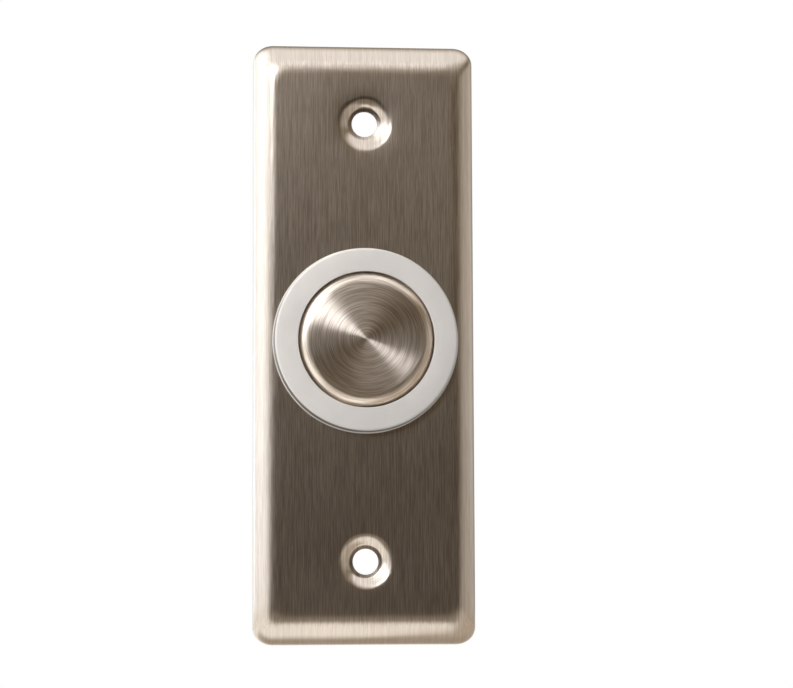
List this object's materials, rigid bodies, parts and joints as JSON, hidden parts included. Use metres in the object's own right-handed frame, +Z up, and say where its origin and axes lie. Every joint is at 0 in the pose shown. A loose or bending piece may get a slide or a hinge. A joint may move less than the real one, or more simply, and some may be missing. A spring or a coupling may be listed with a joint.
{
  "type": "wall push button",
  "caption": "Narrow pressed metal wall plate with a translucent halo ring round a sprung metal push cap that works a lever snap switch in a housing behind the wall.",
  "frame": {"origin": "on the wall plane, at the back of the plate's rim, on the axis of the button", "axes": "+X to the right seen from the front, +Y into the wall so that the front faces -Y, +Z up along the plate"},
  "size_m": [0.0426, 0.0422, 0.1156],
  "materials": {
    "brushed_plate": "brushed along its length",
    "turned_cap": "turned in fine circles",
    "frosted_ring": "translucent white, frosted face",
    "black_rubber": "matt",
    "plated_steel": "zinc plated",
    "spring_steel": "bright",
    "black_nylon": "moulded, fine grain",
    "board_green": "solder mask",
    "lamp_yellow": "clear over phosphor",
    "chip_black": "moulded",
    "tinned_brass": "tinned",
    "switch_black": "moulded",
    "switch_grey": "moulded",
    "pin_red": "moulded",
    "contact_copper": "rolled strip",
    "contact_silver": "bright"
  },
  "bodies": {
    "base": {"faceplate": "brushed_plate", "halo_ring": "frosted_ring", "ring_gasket": "black_rubber", "lock_washer": "plated_steel", "fixing_nut": "black_nylon", "switch_housing": "black_nylon", "rear_cover": "black_nylon", "cover_screws": "plated_steel", "led_board": "board_green", "leds": "lamp_yellow", "resistors": "chip_black", "led_terminals": "tinned_brass", "return_spring": "spring_steel", "switch_case": "switch_black", "switch_cover": "switch_grey", "switch_screws": "plated_steel", "hinge_pin": "plated_steel", "fixed_contacts": "contact_silver", "common_terminal": "tinned_brass", "normally_open_terminal": "tinned_brass", "normally_closed_terminal": "tinned_brass"},
    "button": {"button_cap": "turned_cap", "plunger": "black_nylon", "plunger_seal": "black_rubber", "retaining_clip": "spring_steel"},
    "lever": {"switch_lever": "spring_steel"},
    "pin": {"switch_pin": "pin_red"},
    "contact": {"contact_spring": "contact_copper", "moving_contact": "contact_silver"}
  },
  "joints": [
    {"name": "button_press", "type": "slide", "parent": "base", "child": "button", "axis": [0, 1, 0], "range_m": [0, 0.002], "stiffness_N_per_m": 500, "springref_m": -0.004, "deforming": ["return_spring"]},
    {"name": "lever_swing", "type": "hinge", "parent": "base", "child": "lever", "pos_m": [0, 0.01452, 0.008], "axis": [1, 0, 0], "range_deg": [0, 14.33]},
    {"name": "pin_slide", "type": "slide", "parent": "base", "child": "pin", "axis": [0, 1, 0], "range_m": [0, 0.0008]},
    {"name": "contact_swing", "type": "hinge", "parent": "base", "child": "contact", "pos_m": [0, 0.0193, -0.0065], "axis": [-1, 0, 0], "range_deg": [0, 4.06]}
  ],
  "couplings": [
    {"joint": "lever_swing", "follows": "button_press", "rad_per_m": 125},
    {"joint": "pin_slide", "follows": "button_press", "ratio": 0.4},
    {"joint": "contact_swing", "follows": "button_press", "rad_per_m": 35.398}
  ]
}
